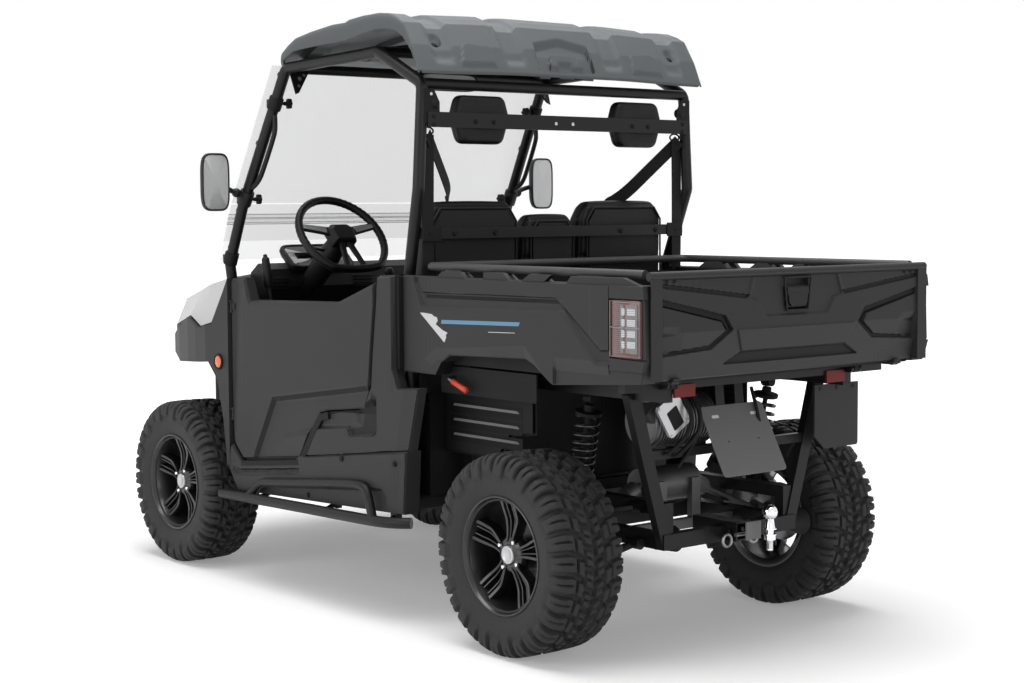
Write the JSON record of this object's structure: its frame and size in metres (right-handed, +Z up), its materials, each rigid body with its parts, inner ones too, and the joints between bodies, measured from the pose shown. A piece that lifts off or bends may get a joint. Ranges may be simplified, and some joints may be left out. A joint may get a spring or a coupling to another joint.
{
  "type": "side by side utility vehicle",
  "caption": "Electric side by side utility vehicle with a roofed roll cage, half doors, a tipping cargo bed, a drop tailgate and a tow ball.",
  "frame": {"origin": "on the ground, under the middle of the overall length and width", "axes": "+X towards the driver's side, +Y towards the tailgate, +Z up; the vehicle faces -Y"},
  "size_m": [1.75, 3.18, 2.124],
  "materials": {
    "tyre": "matte",
    "rim_black": "gloss",
    "frame_black": "satin",
    "machined_steel": "satin",
    "cast_grey": "satin",
    "body_grey": "matte grained",
    "roof_grey": "matte grained",
    "hood_white": "gloss",
    "black_plastic": "matte",
    "clear_pane": "clear",
    "mirror_glass": "polished",
    "seat_cover": "grained",
    "lamp_red": "gloss",
    "lamp_clear": "gloss",
    "marker_orange": "gloss",
    "reflector_red": "gloss",
    "handle_red": "gloss",
    "flap_rubber": "matte",
    "chrome": "polished",
    "bracket_grey": "satin"
  },
  "bodies": {
    "chassis": {"frame_rails": "frame_black", "roll_cage": "frame_black", "suspension_arms": "frame_black", "shock_absorbers": "frame_black", "axle_drives": "cast_grey", "rear_knuckles": "machined_steel", "steering_housings": "frame_black", "rear_reflectors": "reflector_red", "mud_flaps": "flap_rubber", "plate_bracket": "bracket_grey", "hitch_receiver": "frame_black", "hitch_ball": "chrome", "battery_pack": "black_plastic", "drive_motor": "cast_grey", "headrests": "seat_cover", "roof_panel": "roof_grey", "windshield": "clear_pane", "windshield_band": "black_plastic", "mirrors": "black_plastic", "mirror_glasses": "mirror_glass", "hood": "hood_white", "front_fenders": "body_grey", "side_markers": "marker_orange", "front_fascia": "black_plastic", "headlights": "lamp_clear", "front_bumper_guard": "frame_black", "dashboard": "black_plastic", "floor_pan": "black_plastic", "seat_base": "black_plastic", "seat_cushions": "seat_cover", "seat_backs": "seat_cover", "side_panels": "body_grey", "sills": "body_grey", "louvre_panels": "black_plastic", "bed_release_lever": "handle_red", "side_steps": "frame_black"},
    "knuckle_left": {"knuckle_front_left": "machined_steel"},
    "wheel_front_left": {"tyre_front_left": "tyre", "rim_front_left": "rim_black"},
    "wheel_rear_left": {"tyre_rear_left": "tyre", "rim_rear_left": "rim_black"},
    "door_left": {"door_left": "body_grey"},
    "knuckle_right": {"knuckle_front_right": "machined_steel"},
    "wheel_front_right": {"tyre_front_right": "tyre", "rim_front_right": "rim_black"},
    "wheel_rear_right": {"tyre_rear_right": "tyre", "rim_rear_right": "rim_black"},
    "door_right": {"door_right": "body_grey"},
    "steering_rack": {"steering_rack": "machined_steel"},
    "steering_wheel": {"steering_wheel": "black_plastic"},
    "cargo_bed": {"bed_tub": "black_plastic", "bed_sides": "body_grey", "tail_lamps": "lamp_red", "bed_rails": "frame_black"},
    "tailgate": {"tailgate": "body_grey", "tailgate_handle": "black_plastic"}
  },
  "joints": [
    {"name": "steer_left", "type": "hinge", "parent": "chassis", "child": "knuckle_left", "pos_m": [0.55, -1.12, 0.33], "axis": [0, 0, 1], "range_deg": [-30, 30]},
    {"name": "steer_right", "type": "hinge", "parent": "chassis", "child": "knuckle_right", "pos_m": [-0.55, -1.12, 0.33], "axis": [0, 0, 1], "range_deg": [-30, 30]},
    {"name": "rack_slide", "type": "slide", "parent": "chassis", "child": "steering_rack", "axis": [-1, 0, 0], "range_m": [-0.058, 0.058]},
    {"name": "steering_wheel_turn", "type": "hinge", "parent": "chassis", "child": "steering_wheel", "pos_m": [0.37, -0.43, 1.33], "axis": [0, 0.766, 0.6428], "range_deg": [-270, 270]},
    {"name": "spin_front_left", "type": "hinge", "parent": "knuckle_left", "child": "wheel_front_left", "pos_m": [0.64, -1.12, 0.33], "axis": [1, 0, 0], "continuous": true},
    {"name": "spin_front_right", "type": "hinge", "parent": "knuckle_right", "child": "wheel_front_right", "pos_m": [-0.64, -1.12, 0.33], "axis": [1, 0, 0], "continuous": true},
    {"name": "spin_rear_left", "type": "hinge", "parent": "chassis", "child": "wheel_rear_left", "pos_m": [0.61, 0.98, 0.33], "axis": [1, 0, 0], "continuous": true},
    {"name": "spin_rear_right", "type": "hinge", "parent": "chassis", "child": "wheel_rear_right", "pos_m": [-0.61, 0.98, 0.33], "axis": [1, 0, 0], "continuous": true},
    {"name": "door_left_hinge", "type": "hinge", "parent": "chassis", "child": "door_left", "pos_m": [0.698, -0.713, 0.85], "axis": [0, 0, -1], "range_deg": [0, 70]},
    {"name": "door_right_hinge", "type": "hinge", "parent": "chassis", "child": "door_right", "pos_m": [-0.698, -0.713, 0.85], "axis": [0, 0, 1], "range_deg": [0, 70]},
    {"name": "bed_tilt", "type": "hinge", "parent": "chassis", "child": "cargo_bed", "pos_m": [0, 1.452, 0.893], "axis": [-1, 0, 0], "range_deg": [0, 40]},
    {"name": "tailgate_hinge", "type": "hinge", "parent": "cargo_bed", "child": "tailgate", "pos_m": [0, 1.552, 0.915], "axis": [-1, 0, 0], "range_deg": [0, 90]}
  ],
  "couplings": [
    {"joint": "steer_right", "follows": "steer_left", "ratio": 1},
    {"joint": "rack_slide", "follows": "steer_left", "m_per_rad": 0.11},
    {"joint": "steering_wheel_turn", "follows": "steer_left", "ratio": 9}
  ]
}
